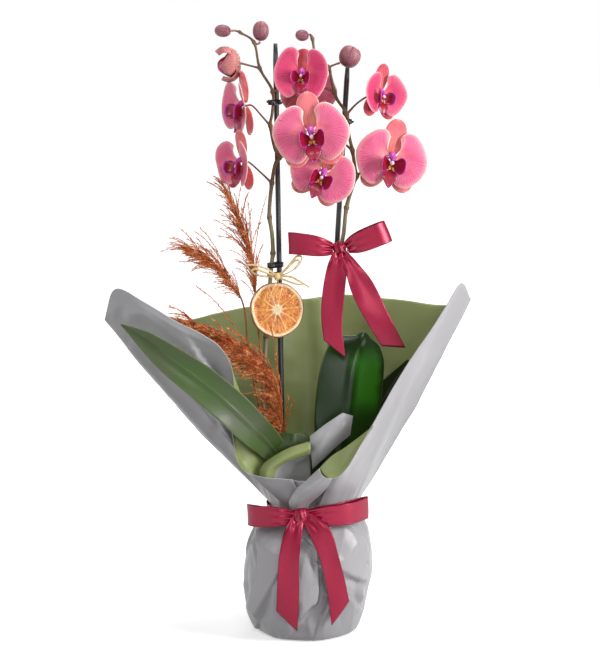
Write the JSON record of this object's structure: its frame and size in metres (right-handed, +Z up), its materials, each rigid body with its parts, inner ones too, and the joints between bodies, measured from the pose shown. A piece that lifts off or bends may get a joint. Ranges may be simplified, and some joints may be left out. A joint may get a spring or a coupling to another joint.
{
  "type": "orchid bouquet",
  "caption": "Potted orchid bouquet with staked flower spikes, strap leaves, dried grass and a dried orange slice in a tied two-tone paper wrapper.",
  "frame": {"origin": "centre of the wrapped pot's flat underside", "axes": "+Z up along the flower spikes; the bouquet's open front faces -Y; +X to the right seen from the front"},
  "size_m": [0.4167, 0.214, 0.7056],
  "materials": {
    "pot_plastic": "thin moulded nursery pot, slightly glossy",
    "bark": "dry chipped orchid bark",
    "spike_green": "living flower stem, olive brown, satin",
    "stake_black": "dark coated support rod, satin",
    "clip_plum": "small dark plum clip",
    "petal_pink": "fleshy petal, fine darker veins, pale edge, soft sheen",
    "lip_magenta": "waxy magenta lip with a yellow callus",
    "bud_mauve": "closed bud, mauve pink, satin",
    "leaf_green": "thick glossy strap leaf with a midrib",
    "orange_flesh": "dried citrus slice, translucent flesh, pale pith",
    "raffia_straw": "dry natural raffia",
    "grass_rust": "dyed dried grass, rust orange, matt",
    "paper_grey": "satin floral wrapping sheet, grey side",
    "paper_green": "satin floral wrapping sheet, sage green side",
    "ribbon_burgundy": "burgundy satin ribbon"
  },
  "bodies": {
    "root": {"bark_medium": "bark", "bud_left_round": "bud_mauve", "bud_left_tip": "bud_mauve", "bud_right_opening": "bud_mauve", "bud_right_tip": "bud_mauve", "clip_left_lower": "clip_plum", "clip_left_upper": "clip_plum", "clip_right": "clip_plum", "crown": "leaf_green", "flower_behind": "petal_pink", "flower_behind_lip": "lip_magenta", "flower_front": "petal_pink", "flower_front_lip": "lip_magenta", "flower_half_open": "petal_pink", "flower_left_lower": "petal_pink", "flower_left_lower_lip": "lip_magenta", "flower_left_upper": "petal_pink", "flower_left_upper_lip": "lip_magenta", "flower_low": "petal_pink", "flower_low_lip": "lip_magenta", "flower_right": "petal_pink", "flower_right_lip": "lip_magenta", "flower_top": "petal_pink", "flower_top_lip": "lip_magenta", "flower_upper_right": "petal_pink", "flower_upper_right_lip": "lip_magenta", "grass_main": "grass_rust", "grass_upper_inner": "grass_rust", "grass_upper_outer": "grass_rust", "leaf_broad_upright": "leaf_green", "leaf_long_left": "leaf_green", "leaf_right_back": "leaf_green", "leaf_small_front": "leaf_green", "neck_ribbon_band": "ribbon_burgundy", "neck_ribbon_knot": "ribbon_burgundy", "neck_ribbon_left_loop": "ribbon_burgundy", "neck_ribbon_left_tail": "ribbon_burgundy", "neck_ribbon_right_loop": "ribbon_burgundy", "neck_ribbon_right_tail": "ribbon_burgundy", "orange_slice": "orange_flesh", "pot": "pot_plastic", "raffia_bow": "raffia_straw", "spike_bow_knot": "ribbon_burgundy", "spike_bow_left_loop": "ribbon_burgundy", "spike_bow_left_tail": "ribbon_burgundy", "spike_bow_right_loop": "ribbon_burgundy", "spike_bow_right_tail": "ribbon_burgundy", "spike_left": "spike_green", "spike_right": "spike_green", "stake_left": "stake_black", "stake_right": "stake_black", "wrapper_back_left": "paper_grey", "wrapper_back_right": "paper_grey", "wrapper_collar": "paper_green", "wrapper_corner_flap": "paper_grey", "wrapper_front_left": "paper_grey", "wrapper_front_right": "paper_grey", "wrapper_front_roll": "paper_green", "wrapper_pouch": "paper_grey"}
  },
  "joints": []
}
